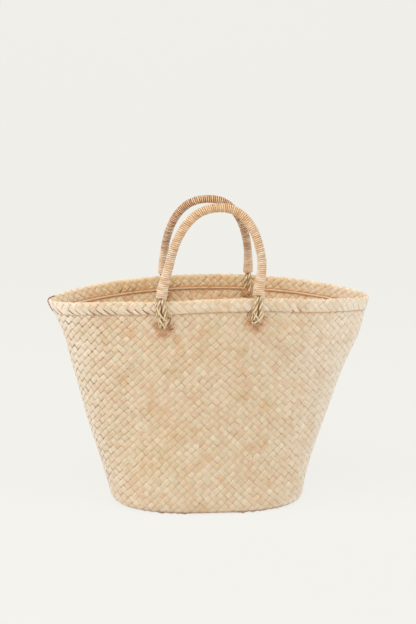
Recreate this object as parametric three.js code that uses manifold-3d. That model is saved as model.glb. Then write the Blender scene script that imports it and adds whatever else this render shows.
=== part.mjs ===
// A straw basket bag: an oval shopper plaited from palm leaf, with a folded hem and two bound rope handles.
//
// Millimetres, +Z up. The origin is on the floor, under the middle of the basket. X runs along the
// wide way of the mouth and the front of the basket faces -Y. An angle of 0 is the right tip of the
// mouth, 90 the back, 180 the left tip and 270 the front.

import * as THREE from 'three';
import { ParametricGeometry } from 'three/addons/geometries/ParametricGeometry.js';
import { mergeVertices } from 'three/addons/utils/BufferGeometryUtils.js';
import Module from 'manifold-3d';

const wasm = await Module();
wasm.setup();

// Mouth, measured over the hem
const rimWidth = 500;
const rimDepth = 180;
const rimHeight = 341; // floor to the top of the hem, at its middle
const tipDrop = 17; // how far the two tips of the mouth hang below its middle

// Base, measured over the wall before its edge is rounded
const baseWidth = 314;
const baseDepth = 192;
const baseRounding = 9;

// Plaited wall, one layer all over
const wall = 2;

// Hem, folded down over the wall on both sides
const hemThickness = 1.6;
const outerHemHeight = 20;
const innerHemHeight = 20;
const hemEdgeHeight = 3.6; // the narrow turned edge that shows under the inner hem
const hemEdgeThickness = 1.6;

// Handles: a rope core bound with raffia, and two cord loops through the wall at each foot
const coreRadius = 5.3;
const bindingThickness = 1.2;
const bindingStart = 5; // height of the binding's end above the hem
const handleSpan = 144; // between a handle's feet
const handleRise = 136; // from the hem's top to the top of the core's centre line
const archRoundness = 2.3; // 2 is an ellipse, and more is squarer
const footDrop = 40; // how far a foot's cords hang below the hem's top
const loopCordRadius = 2.9;
const loopSpread = 3.5; // from the middle of a foot to each of its two cords
const loopBend = 3.2; // radius of a cord's bend at the wall

const clearance = 0.3; // between pieces that touch
const slotClearance = 0.5; // round a foot's cords in the wall

// How finely the curved faces are cut
const sidesRound = 60;
const wallRings = 8;
const cornerRings = 3;
const handleSteps = 32;
const handleSides = 10;
const loopSides = 6;
const slotSides = 12;

// The wall from the floor up. height is a share of the wall's height. width is a share of the way
// from the base's width to the mouth's, and depth a share of the depth that a straight side would
// have there. sides and ends are the outline's exponents: 2 is an ellipse, and more is squarer.
const sections = [
  { height: 0.0, width: 0.0, depth: 1.0, sides: 2.7, ends: 2.5 },
  { height: 0.08, width: 0.055, depth: 0.995, sides: 2.6, ends: 2.45 },
  { height: 0.3, width: 0.22, depth: 0.966, sides: 2.2, ends: 2.2 },
  { height: 0.6, width: 0.543, depth: 0.96, sides: 2.12, ends: 2.05 },
  { height: 0.82, width: 0.792, depth: 0.982, sides: 2.06, ends: 1.98 },
  { height: 1.0, width: 1.0, depth: 1.0, sides: 2.02, ends: 1.95 },
];

// Slow waves of the mouth's edge. lift is a share of tipDrop, spread is in degrees.
const rimWaves = [
  { angle: 253, lift: -0.13, spread: 11 },
  { angle: 288, lift: 0.09, spread: 13 },
  { angle: 330, lift: 0.09, spread: 14 },
];

// Where the soft wall gives in or bulges. depth is a share of the base's depth, less than 0 for a
// bulge, spread is in degrees and reach is a share of the wall's height.
const wallDents = [
  { angle: 180, height: 0.84, depth: 0.019, spread: 35, reach: 0.12 },
  { angle: 180, height: 0.35, depth: -0.036, spread: 35, reach: 0.22 },
  { angle: 0, height: 0.82, depth: -0.036, spread: 35, reach: 0.13 },
  { angle: 0, height: 0.08, depth: 0.044, spread: 35, reach: 0.2 },
  { angle: 238, height: 0.42, depth: 0.016, spread: 16, reach: 0.2 },
  { angle: 300, height: 0.6, depth: 0.013, spread: 14, reach: 0.16 },
  { angle: 66, height: 0.5, depth: 0.016, spread: 18, reach: 0.2 },
  { angle: 118, height: 0.34, depth: 0.013, spread: 14, reach: 0.16 },
];

// Each handle. side is -1 for the front and 1 for the back. span is a share of handleSpan and rise of
// handleRise. leanIn is how far the top stands in over the mouth, as a share of the rise. shift moves
// the whole arch to the right, sway all of it but its feet, and tilt more of it the higher it is, as
// shares of handleSpan.
const handles = [
  { name: 'front', side: -1, span: 1, rise: 0.99, leanIn: 0.132, shift: -0.023, sway: 0.042, tilt: 0.05 },
  { name: 'back', side: 1, span: 0.956, rise: 0.965, leanIn: 0.341, shift: -0.009, sway: 0.005, tilt: 0 },
];

// Each foot. end is -1 for the left and 1 for the right, and drop is a share of footDrop.
const feet = [
  { handle: 'front', end: -1, drop: 1.03 },
  { handle: 'front', end: 1, drop: 0.93 },
  { handle: 'back', end: -1, drop: 0.98 },
  { handle: 'back', end: 1, drop: 0.95 },
];

// Where a cord runs over the hem, from inside the core to its outer leg; the inner leg mirrors it.
// across is a share of loopSpread and out a share of the leg's distance from the wall's middle. up is
// the height above the hem as a share of bindingStart, and down the depth below it, of the foot's drop.
const loopRun = [
  { across: 0.36, out: 0.2, up: 2, down: 0 },
  { across: 0.38, out: 0.23, up: 0.86, down: 0 },
  { across: 0.7, out: 0.82, up: 0.24, down: 0 },
  { across: 0.85, out: 1.05, up: 0, down: 0.065 },
  { across: 0.93, out: 1.06, up: 0, down: 0.3 },
  { across: 1, out: 1, up: 0, down: 0.6 },
];

const raffia = { color: 0xdcb78f, roughness: 0.75, metalness: 0 };
const palmLeaf = { color: 0xd9bb93, roughness: 0.7, metalness: 0 };
const palmHem = { color: 0xdec39c, roughness: 0.68, metalness: 0 };
const palmRope = { color: 0xc9ab78, roughness: 0.8, metalness: 0 };

const degrees = Math.PI / 180;
const holdsInHem = hemThickness + clearance;

// One column of the section table at any height, as a smooth curve through its rows.
function sectionValue(height, column) {
  const last = sections.length - 1;
  let i = 0;
  while (i < last - 1 && height > sections[i + 1].height) i += 1;
  const slope = (k) => {
    const low = sections[Math.max(k - 1, 0)];
    const high = sections[Math.min(k + 1, last)];
    return (high[column] - low[column]) / (high.height - low.height);
  };
  const from = sections[i];
  const to = sections[i + 1];
  const step = to.height - from.height;
  const t = (height - from.height) / step;
  const t2 = t * t;
  const t3 = t2 * t;
  return (
    from[column] * (2 * t3 - 3 * t2 + 1) +
    slope(i) * step * (t3 - 2 * t2 + t) +
    to[column] * (3 * t2 - 2 * t3) +
    slope(i + 1) * step * (t3 - t2)
  );
}

// A smooth bump of height 1 at 0 that has died away at a distance of 2 or so.
const bump = (distance) => Math.exp(-distance * distance);

function angleApart(a, b) {
  return Math.abs(((a - b + 540) % 360) - 180);
}

const signedPower = (value, power) => Math.sign(value) * Math.abs(value) ** power;

// Height of the hem's top edge at an angle in degrees.
function rimTop(angle) {
  const along = signedPower(Math.cos(angle * degrees), 2 / sectionValue(1, 'sides'));
  const waves = rimWaves.reduce((sum, w) => sum + w.lift * bump(angleApart(angle, w.angle) / w.spread), 0);
  return rimHeight - tipDrop * along * along + tipDrop * waves;
}

const wallTop = (angle) => rimTop(angle) - holdsInHem;

// A point off the wall: out is its distance outside the wall's outer face, negative for inside it.
function wallPoint(angle, z, out) {
  const height = z / wallTop(angle);
  const share = Math.min(Math.max(height, 0), 1);
  const { lerp } = THREE.MathUtils;
  const halfWidth = lerp(baseWidth, rimWidth - 2 * holdsInHem, sectionValue(share, 'width')) / 2;
  const straightDepth = lerp(baseDepth, rimDepth - 2 * holdsInHem, share);
  const halfDepth = (straightDepth * sectionValue(share, 'depth')) / 2;
  const sides = sectionValue(share, 'sides');
  const ends = sectionValue(share, 'ends');
  const x = signedPower(Math.cos(angle * degrees), 2 / sides);
  const y = signedPower(Math.sin(angle * degrees), 2 / ends);
  const normal = new THREE.Vector2(
    (sides * signedPower(x, sides - 1)) / halfWidth,
    (ends * signedPower(y, ends - 1)) / halfDepth,
  ).normalize();
  const dent = wallDents.reduce(
    (sum, d) =>
      sum + d.depth * bump(angleApart(angle, d.angle) / d.spread) * bump((height - d.height) / d.reach),
    0,
  );
  const corner = baseRounding + out;
  const below = Math.max(baseRounding - z, 0);
  const cornerInset = baseRounding - Math.sqrt(Math.max(corner * corner - below * below, 0));
  const inset = cornerInset + dent * baseDepth;
  return new THREE.Vector3(halfWidth * x - normal.x * inset, halfDepth * y - normal.y * inset, z);
}

// The surface over a list of rings, each a function from an angle to a point.
function ringSurface(rings) {
  const last = rings.length - 1;
  return new ParametricGeometry(
    (u, v, target) => target.copy(rings[Math.round(v * last)]((u % 1) * 360)),
    sidesRound,
    last,
  );
}

// The same faces with their corners shared and the ones that have shrunk to a line left out.
function closedGeometry(geometry) {
  const bare = geometry.clone();
  bare.deleteAttribute('normal');
  bare.deleteAttribute('uv');
  const merged = mergeVertices(bare, 1e-4);
  const index = merged.index.array;
  const kept = [];
  for (let i = 0; i < index.length; i += 3) {
    const [a, b, c] = index.slice(i, i + 3);
    if (a !== b && b !== c && c !== a) kept.push(a, b, c);
  }
  merged.setIndex(kept);
  return merged;
}

function toSolid(geometry) {
  const closed = closedGeometry(geometry);
  return new wasm.Manifold(
    new wasm.Mesh({
      numProp: 3,
      vertProperties: Float32Array.from(closed.attributes.position.array),
      triVerts: Uint32Array.from(closed.index.array),
    }),
  );
}

function fromSolid(solid) {
  const { vertProperties, triVerts } = solid.getMesh();
  const geometry = new THREE.BufferGeometry();
  geometry.setAttribute('position', new THREE.BufferAttribute(vertProperties, 3));
  geometry.setIndex(new THREE.BufferAttribute(triVerts, 1));
  return geometry;
}

function piece(name, geometry, look) {
  geometry.computeVertexNormals();
  const mesh = new THREE.Mesh(geometry, new THREE.MeshStandardMaterial(look));
  mesh.name = name;
  return mesh;
}

// The rings of one face of the wall, from the floor to its top. out is 0 outside and -wall inside.
function wallFace(out) {
  const rings = [(angle) => new THREE.Vector3(0, 0, -out), (angle) => wallPoint(angle, -out, out)];
  for (let i = 1; i < cornerRings; i += 1) {
    const turn = (i / cornerRings) * (Math.PI / 2);
    const z = baseRounding - (baseRounding + out) * Math.cos(turn);
    rings.push((angle) => wallPoint(angle, z, out));
  }
  for (let i = 0; i <= wallRings; i += 1) {
    const underHem = (angle) => rimTop(angle) - outerHemHeight;
    const z = (angle) => THREE.MathUtils.lerp(baseRounding, underHem(angle), i / wallRings);
    rings.push((angle) => wallPoint(angle, z(angle), out));
  }
  rings.push((angle) => wallPoint(angle, wallTop(angle), out));
  return rings;
}

// The angle at which the wall's top stands at x, on the front or the back.
function angleAt(x, side) {
  const halfWidth = (rimWidth - 2 * holdsInHem) / 2;
  const along = signedPower(x / halfWidth, sectionValue(1, 'sides') / 2);
  return ((side * Math.acos(along)) / degrees + 360) % 360;
}

// Where a foot stands: the middle of the wall under it, the way out of the basket and the way along it.
function footFrame(foot) {
  const { side, span, shift } = handles.find((h) => h.name === foot.handle);
  const drop = foot.drop * footDrop;
  const angle = angleAt(handleSpan * (shift + (foot.end * span) / 2), side);
  const top = rimTop(angle);
  const outward = wallPoint(angle, wallTop(angle), 1).sub(wallPoint(angle, wallTop(angle), 0)).normalize();
  const along = new THREE.Vector3(-outward.y * side, outward.x * side, 0);
  const wallMiddle = (down) => wallPoint(angle, top - down, -wall / 2);
  return { top, outward, along, wallMiddle, drop };
}

// How far a leg stands from the middle of the wall: clear of the hem and of its turned edge.
const legOut = wall / 2 + 2 * clearance + Math.max(hemThickness, hemEdgeThickness) + loopCordRadius;

// A cord's centre line, cut at its own points so that its bends are cut finer than its legs.
class CordPath extends THREE.CatmullRomCurve3 {
  getUtoTmapping(u) {
    return u;
  }
}

// The centre line of one cord of a foot: down outside, through the wall and up inside.
function cordPath(foot, hand) {
  const { top, outward, along, wallMiddle, drop } = footFrame(foot);
  const lowest = drop - loopCordRadius;
  const place = (across, out, up) =>
    wallMiddle(Math.max(-up, holdsInHem))
      .setZ(top + up)
      .addScaledVector(outward, out)
      .addScaledVector(along, hand * across);
  const leg = (face) =>
    loopRun.map((p) =>
      place(p.across * loopSpread, face * p.out * legOut, p.up * bindingStart - p.down * drop),
    );
  const bend = (face) =>
    [0, 45, 90].map((degree) => {
      const inward = loopBend * (1 - Math.cos(degree * degrees));
      const down = loopBend * Math.sin(degree * degrees);
      return place(loopSpread, face * (legOut - inward), loopBend - down - lowest);
    });
  return new CordPath(
    [...leg(1), ...bend(1), ...bend(-1).reverse(), ...leg(-1).reverse()],
    false,
    'centripetal',
  );
}

// The centre line of a handle's core, from the left foot up and over to the right foot.
class HandlePath extends THREE.Curve {
  constructor(handle) {
    super();
    this.handle = handle;
    this.ends = feet.filter((f) => f.handle === handle.name).map((f) => footFrame(f));
    this.ends.sort((a, b) => a.wallMiddle(a.drop).x - b.wallMiddle(b.drop).x);
  }

  getPoint(t, target = new THREE.Vector3()) {
    const { side, leanIn } = this.handle;
    const span = this.handle.span * handleSpan;
    const rise = this.handle.rise * handleRise;
    const sway = this.handle.sway * handleSpan;
    const tilt = this.handle.tilt * handleSpan;
    const turn = Math.PI * (1 - t);
    const across = signedPower(Math.cos(turn), 2 / archRoundness);
    const up = Math.max(Math.sin(turn), 0) ** (2 / archRoundness);
    const [left, right] = this.ends.map((e) => e.wallMiddle(holdsInHem).setZ(e.top + bindingStart));
    target.lerpVectors(left, right, (across + 1) / 2);
    target.x += sway * THREE.MathUtils.smoothstep(up, 0, 0.4) + tilt * up;
    target.x += (across * (span - (right.x - left.x))) / 2;
    target.y -= side * leanIn * rise * up ** 1.6;
    target.z += up * (rise - bindingStart);
    return target;
  }
}

function disc(radius, sides) {
  const turns = Array.from({ length: sides }, (_, i) => (2 * Math.PI * i) / sides);
  return turns.map((a) => new THREE.Vector2(radius * Math.cos(a), radius * Math.sin(a)));
}

function tubeAlong(path, radius, steps, sides, bore = 0) {
  const shape = new THREE.Shape(disc(radius, sides));
  if (bore) shape.holes.push(new THREE.Path(disc(bore, sides).reverse()));
  return new THREE.ExtrudeGeometry(shape, { steps, extrudePath: path, bevelEnabled: false });
}

// The slot in the wall that both cords of a foot pass through.
function cordSlot(foot) {
  const { top, outward, along, wallMiddle, drop } = footFrame(foot);
  const lowest = drop - loopCordRadius;
  const radius = loopCordRadius + slotClearance;
  const ends = [-1, 1].map((hand) => {
    const end = new THREE.CylinderGeometry(radius, radius, 4 * wall, slotSides);
    end.applyQuaternion(new THREE.Quaternion().setFromUnitVectors(new THREE.Vector3(0, 1, 0), outward));
    const at = wallMiddle(lowest).addScaledVector(along, hand * loopSpread);
    return toSolid(end.translate(at.x, at.y, top - lowest));
  });
  return wasm.Manifold.hull(ends);
}

function basketBody() {
  const shell = toSolid(ringSurface([...wallFace(0), ...wallFace(-wall).reverse()]));
  const slotted = feet.reduce((solid, foot) => solid.subtract(cordSlot(foot)), shell);
  return piece('basket_body', fromSolid(slotted), palmLeaf);
}

// The hem is a folded strip: its section is drawn as distance out from the wall and depth below the rim.
function folded(section) {
  const rings = [...section, section[0]].map(
    ([out, down]) => (angle) => wallPoint(angle, Math.min(rimTop(angle) - down, wallTop(angle)), out)
      .setZ(rimTop(angle) - down),
  );
  return closedGeometry(ringSurface(rings));
}

function rimHem() {
  const outside = clearance + hemThickness;
  const inside = -wall - outside;
  const rounding = hemThickness / 2;
  return piece(
    'rim_hem',
    folded([
      [clearance, outerHemHeight],
      [outside, outerHemHeight],
      [outside, outside],
      [outside - rounding, rounding / 2],
      [-wall / 2, 0],
      [inside + rounding, rounding / 2],
      [inside, outside],
      [inside, innerHemHeight],
      [-wall - clearance, innerHemHeight],
      [-wall - clearance, hemThickness],
      [clearance, hemThickness],
    ]),
    palmHem,
  );
}

function innerHemEdge() {
  const top = innerHemHeight + clearance;
  const near = -wall - clearance;
  return piece(
    'inner_hem_edge',
    folded([
      [near, top],
      [near - hemEdgeThickness, top],
      [near - hemEdgeThickness, top + hemEdgeHeight],
      [near, top + hemEdgeHeight],
    ]),
    palmHem,
  );
}

function handleCore(handle) {
  const rod = toSolid(tubeAlong(new HandlePath(handle), coreRadius, handleSteps, handleSides));
  const own = feet.filter((f) => f.handle === handle.name);
  const cords = own.flatMap((foot) => [-1, 1].map((hand) => cordPath(foot, hand)));
  const loops = cords.map((path) =>
    toSolid(tubeAlong(path, loopCordRadius, path.points.length - 1, loopSides)),
  );
  return piece(
    `handle_core_${handle.name}`,
    fromSolid(loops.reduce((solid, loop) => solid.add(loop), rod)),
    palmRope,
  );
}

function handleBinding(handle) {
  const bore = coreRadius + clearance;
  const tube = tubeAlong(new HandlePath(handle), bore + bindingThickness, handleSteps, handleSides, bore);
  return piece(`handle_binding_${handle.name}`, closedGeometry(tube), raffia);
}

const basketBag = new THREE.Group();
basketBag.add(basketBody(), rimHem(), innerHemEdge());
for (const handle of handles) {
  const carrier = new THREE.Group();
  carrier.add(handleCore(handle), handleBinding(handle));
  basketBag.add(carrier);
}

export default basketBag;
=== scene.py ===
"""A straw basket bag on a pale studio floor: plaited palm leaf, a folded hem and two raffia-bound
handles. Sizes are in millimetres until a mesh is made. X runs along the wide way of the mouth and the
front faces -Y. An angle of 0 is the right tip of the mouth, 90 the back, 180 the left tip, 270 the
front."""

import math

import bpy
import numpy as np
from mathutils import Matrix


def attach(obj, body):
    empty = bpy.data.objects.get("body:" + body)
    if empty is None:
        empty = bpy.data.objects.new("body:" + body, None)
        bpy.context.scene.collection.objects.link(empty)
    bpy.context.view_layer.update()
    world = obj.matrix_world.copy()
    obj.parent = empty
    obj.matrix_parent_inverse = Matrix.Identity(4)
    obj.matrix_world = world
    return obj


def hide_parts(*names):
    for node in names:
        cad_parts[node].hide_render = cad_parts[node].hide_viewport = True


MM = 0.001
TAU = 2 * math.pi

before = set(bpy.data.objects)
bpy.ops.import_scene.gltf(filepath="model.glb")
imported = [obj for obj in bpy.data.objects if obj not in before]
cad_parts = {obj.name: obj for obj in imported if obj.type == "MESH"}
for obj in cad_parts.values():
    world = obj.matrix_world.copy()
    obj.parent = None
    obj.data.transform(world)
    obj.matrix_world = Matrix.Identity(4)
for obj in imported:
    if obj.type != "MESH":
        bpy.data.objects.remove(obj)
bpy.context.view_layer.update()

# Sizes of the basket, the same as the part's own

RIM_WIDTH = 500
RIM_DEPTH = 180
RIM_HEIGHT = 341
TIP_DROP = 17
BASE_WIDTH = 314
BASE_DEPTH = 192
BASE_ROUNDING = 9
WALL = 2
HEM_THICKNESS = 1.6
HEM_HEIGHT = 20
HEM_EDGE_HEIGHT = 3.6
HEM_EDGE_THICKNESS = 1.6
CLEARANCE = 0.3
HOLDS = HEM_THICKNESS + CLEARANCE

BINDING_START = 5
HANDLE_SPAN = 144
HANDLE_RISE = 136
ARCH_ROUNDNESS = 2.3
FOOT_DROP = 40
CORD_RADIUS = 2.9
CORD_SPREAD = 3.5
CORD_BEND = 3.2

# height, share of the way from base width to mouth width, depth, exponents of the outline
SECTIONS = np.array([
    (0.0, 0.0, 1.0, 2.7, 2.5),
    (0.08, 0.055, 0.995, 2.6, 2.45),
    (0.3, 0.22, 0.966, 2.2, 2.2),
    (0.6, 0.543, 0.96, 2.12, 2.05),
    (0.82, 0.792, 0.982, 2.06, 1.98),
    (1.0, 1.0, 1.0, 2.02, 1.95),
])
WIDTH, DEPTH, SIDES, ENDS = 1, 2, 3, 4

# angle, lift as a share of the tips' drop, spread in degrees
RIM_WAVES = [(253, -0.13, 11), (288, 0.09, 13), (330, 0.09, 14)]

# angle, height, depth as a share of the base's depth, spread in degrees, reach as a share of height
WALL_DENTS = [
    (180, 0.84, 0.019, 35, 0.12),
    (180, 0.35, -0.036, 35, 0.22),
    (0, 0.82, -0.036, 35, 0.13),
    (0, 0.08, 0.044, 35, 0.2),
    (238, 0.42, 0.016, 16, 0.2),
    (300, 0.6, 0.013, 14, 0.16),
    (66, 0.5, 0.016, 18, 0.2),
    (118, 0.34, 0.013, 14, 0.16),
]

# Each handle's side, span, rise, lean in, shift, sway and tilt, as in the part
HANDLES = {
    "front": dict(side=-1, span=1.0, rise=0.99, lean=0.132, shift=-0.023, sway=0.042, tilt=0.05),
    "back": dict(side=1, span=0.956, rise=0.965, lean=0.341, shift=-0.009, sway=0.005, tilt=0.0),
}
FEET = [
    dict(handle="front", end=-1, drop=1.03),
    dict(handle="front", end=1, drop=0.93),
    dict(handle="back", end=-1, drop=0.98),
    dict(handle="back", end=1, drop=0.95),
]
# across, out, up as a share of BINDING_START, down as a share of the foot's drop
CORD_RUN = [
    (0.36, 0.2, 2, 0),
    (0.38, 0.23, 0.86, 0),
    (0.7, 0.82, 0.24, 0),
    (0.85, 1.05, 0, 0.065),
    (0.93, 1.06, 0, 0.3),
    (1, 1, 0, 0.6),
]

# Where the hem's last row shows slits, painted brown along its strips' edges, partly dried leaf and partly
# painted shade: its face and two angles of the mouth
HEM_SLITS = [
    ("outside", 186, 202),
    ("outside", 206.5, 235),
    ("outside", 238.5, 250.5),
    ("outside", 298, 305.5),
    ("inside", 150, 158),
    ("inside", 115, 127),
    ("inside", 98, 103),
]
HEM_LAST_ROW = 6.2
HEM_FIRST_ROW = 3.1
HEM_STRIP_WIDTH = 8.6
HEM_PLAIT_HEIGHT = 0.3
TIP_PINCH = 3.4
TIP_PINCH_SPREAD = 26

STRIP_WIDTH = 9.1
PLAIT_HEIGHT = 0.48
FLOOR_GAP = 0.05
BASE_RAISED = 0.2

# The slow waves by which the plait wanders off its lattice: their lengths, and how far they reach
DRIFT_WAVES = (190, 120, 75, 48, 34)
DRIFT_SHARE = 110
DRIFT_SIZE = 0.55

# The basket's form


def signed_power(value, power):
    return np.sign(value) * np.abs(value) ** power


def smooth(value, low, high):
    t = np.clip((np.asarray(value, float) - low) / (high - low), 0, 1)
    return t * t * (3 - 2 * t)


def section_value(height, column):
    """One column of SECTIONS at any height, as a smooth curve through its rows."""
    rows = SECTIONS[:, 0]
    values = SECTIONS[:, column]
    last = len(rows) - 1
    low = np.maximum(np.arange(last + 1) - 1, 0)
    high = np.minimum(np.arange(last + 1) + 1, last)
    slopes = (values[high] - values[low]) / (rows[high] - rows[low])
    i = np.clip(np.searchsorted(rows, height, side="right") - 1, 0, last - 1)
    step = rows[i + 1] - rows[i]
    t = (height - rows[i]) / step
    t2, t3 = t * t, t ** 3
    return (values[i] * (2 * t3 - 3 * t2 + 1) + slopes[i] * step * (t3 - 2 * t2 + t)
            + values[i + 1] * (3 * t2 - 2 * t3) + slopes[i + 1] * step * (t3 - t2))


def angle_apart(a, b):
    return np.abs((a - b + 540) % 360 - 180)


def rim_top(angle):
    along = signed_power(np.cos(np.radians(angle)), 2 / SECTIONS[-1, SIDES])
    waves = sum(lift * np.exp(-(angle_apart(angle, a) / spread) ** 2) for a, lift, spread in RIM_WAVES)
    return RIM_HEIGHT - TIP_DROP * along * along + TIP_DROP * waves


def outline(angle, z):
    """The wall's outer face at a height, without its rounded foot: x, y and the way out."""
    angle = np.asarray(angle, float)
    height = z / (rim_top(angle) - HOLDS)
    share = np.clip(height, 0, 1)
    across = section_value(share, WIDTH)
    half_width = (BASE_WIDTH + (RIM_WIDTH - 2 * HOLDS - BASE_WIDTH) * across) / 2
    straight = BASE_DEPTH + (RIM_DEPTH - 2 * HOLDS - BASE_DEPTH) * share
    half_depth = straight * section_value(share, DEPTH) / 2
    sides = section_value(share, SIDES)
    ends = section_value(share, ENDS)
    x = signed_power(np.cos(np.radians(angle)), 2 / sides)
    y = signed_power(np.sin(np.radians(angle)), 2 / ends)
    nx = sides * signed_power(x, sides - 1) / half_width
    ny = ends * signed_power(y, ends - 1) / half_depth
    length = np.hypot(nx, ny)
    nx, ny = nx / length, ny / length
    dent = sum(
        depth * np.exp(-(angle_apart(angle, a) / spread) ** 2 - ((height - h) / reach) ** 2)
        for a, h, depth, spread, reach in WALL_DENTS
    )
    inset = dent * BASE_DEPTH
    return half_width * x - nx * inset, half_depth * y - ny * inset, nx, ny


def wall_point(angle, along, out):
    """A point off the wall. along is the height, which runs on round the rounded foot and in under
    the base below BASE_ROUNDING, and out is the distance outside the wall's outer face."""
    angle, along, out = np.broadcast_arrays(*(np.asarray(v, float) for v in (angle, along, out)))
    r = BASE_ROUNDING
    turn = np.clip((r - along) / r, 0, math.pi / 2)
    under = np.maximum((r - r * math.pi / 2) - along, 0)
    x, y, nx, ny = outline(angle, np.where(along < r, r * (1 - np.sin(turn)), along))
    on_wall = along >= r
    side = np.where(on_wall, out, (r + out) * np.cos(turn) - r - under)
    z = np.where(on_wall, along, r - (r + out) * np.sin(turn))
    return np.stack([x + nx * side, y + ny * side, z], -1)


def on_floor(points):
    """The same points, pressed flat where they would go through the floor."""
    points[..., 2] = np.maximum(points[..., 2], FLOOR_GAP)
    return points


def arc_table(points):
    """Length along each row of points, from its first point."""
    steps = np.linalg.norm(np.diff(points, axis=-2), axis=-1)
    return np.concatenate([np.zeros(steps.shape[:-1] + (1,)), np.cumsum(steps, -1)], -1)


def hand_drift(s, t, seed):
    """How far the plait wanders off its true lattice under a hand: a few slow waves, in millimetres."""
    rng = np.random.default_rng(seed)
    total = np.zeros(np.broadcast(s, t).shape)
    for length in DRIFT_WAVES:
        turn, phase = rng.uniform(0, TAU, 2)
        along = s * math.cos(turn) + t * math.sin(turn)
        total = total + length / DRIFT_SHARE * np.sin(along * TAU / length + phase)
    return total * DRIFT_SIZE


class Chart:
    """What most faces share. A chart lays a face flat, and its plait is drawn on that flat face."""

    def fullness(self, s, t):
        """How far each square bulges, as a share of the plait's height."""
        return np.ones_like(s)

    def on_top(self, s, t):
        """1 where the rising strip has to lie on top, -1 the falling one, and 0 where they take turns."""
        return np.zeros_like(s)

    def tone(self, s, t, tint):
        """Where each cell's tint lies among the material's shades."""
        return tint


class WallChart(Chart):
    """One face of the wall laid flat: s runs right from the face's middle line along the wall, t up it.
    The plait keeps one pitch over the face, so its columns stay upright while the wall flares."""

    def __init__(self, middle, lap):
        self.middle = middle
        # a table over the wall: heights 4 mm apart, turns of half a degree, and lengths 1 mm apart
        self.levels = np.linspace(-30, 342, 94)
        self.turns = np.linspace(-97, 97, 389)
        points = wall_point(middle + self.turns[None], self.levels[:, None], -WALL / 2)
        arcs = arc_table(points)
        arcs -= arcs[:, [self.turns.size // 2]]
        self.grid = np.linspace(-330, 330, 661)
        self.turn_at = np.array([np.interp(self.grid, row, self.turns) for row in arcs])
        ends = [np.array([np.interp(end, self.turns, row) for row in arcs]) for end in (-90, 90)]
        self.low, self.high = ends[0] - lap, ends[1] + lap

    def angle(self, s, t):
        row = np.clip((t - self.levels[0]) / (self.levels[1] - self.levels[0]), 0, self.levels.size - 1.001)
        col = np.clip((s - self.grid[0]) / (self.grid[1] - self.grid[0]), 0, self.grid.size - 1.001)
        i, j = row.astype(int), col.astype(int)
        v, u = row - i, col - j
        table = self.turn_at
        low = table[i, j] * (1 - u) + table[i, j + 1] * u
        high = table[i + 1, j] * (1 - u) + table[i + 1, j + 1] * u
        return self.middle + low * (1 - v) + high * v

    def inside(self, s, t):
        low = np.interp(t, self.levels, self.low)
        high = np.interp(t, self.levels, self.high)
        angle = self.angle(s, t) % 360
        top = rim_top(angle) - HOLDS - 1.0
        return (s > low) & (s < high) & (t < top) & (t > BASE_ROUNDING * (1 - math.pi / 2) - 9)

    def fullness(self, s, t):
        """How far the squares bulge. They stand up most on the left of the front."""
        return 1 + 1.1 * smooth(-s if self.middle > 180 else s, 110, 190) * smooth(t, 10, 50)

    def browned_and_shaded(self, s, t, rng):
        """How brown each cell's corners are: partly the leaf's dried brown, partly painted shade of the small
        gaps where the strips cross. More of them are brown on the left of the front.
        """
        front = self.middle > 180
        often = np.where(s < -170, 0.42 if front else 0.1, np.where(s < -110, 0.2, 0.07))
        often = np.where((s > 120) & (t > 200), 0.14, often)
        chosen = rng.uniform(0, 1, s.size) < often
        return np.where(chosen, rng.uniform(0.7, 1, s.size), rng.uniform(0, 0.5, s.size))

    def nearness_to_tip(self, s, t):
        reach = np.where(s < 0, -np.interp(t, self.levels, self.low), np.interp(t, self.levels, self.high))
        return np.abs(s) / reach

    def place(self, s, t, lift):
        lap = 0.5 * smooth(self.nearness_to_tip(s, t), 0.96, 1.0)
        s, t = s + hand_drift(s, t, self.middle), t + hand_drift(s, t, self.middle + 1)
        return on_floor(wall_point(self.angle(s, t) % 360, t, -WALL / 2 + lift + lap))


class BaseChart(Chart):
    """The base laid flat, seen from below."""

    def browned_and_shaded(self, s, t, rng):
        return rng.uniform(0, 0.7, s.size)

    def inside(self, s, t):
        angle = np.degrees(np.arctan2(t / BASE_DEPTH, s / BASE_WIDTH)) % 360
        x, y = outline(angle, 0.0)[:2]
        reach = np.hypot(x, y)
        return np.hypot(s, t) < reach - BASE_ROUNDING - 2

    def place(self, s, t, lift):
        return on_floor(np.stack([s, t, WALL / 2 + BASE_RAISED - lift], -1))


def tip_pinch(angle):
    """How much shallower the hem is inside, towards the left tip, where the fold is pinched."""
    return TIP_PINCH * np.exp(-(angle_apart(angle, 180) / TIP_PINCH_SPREAD) ** 2)


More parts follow.
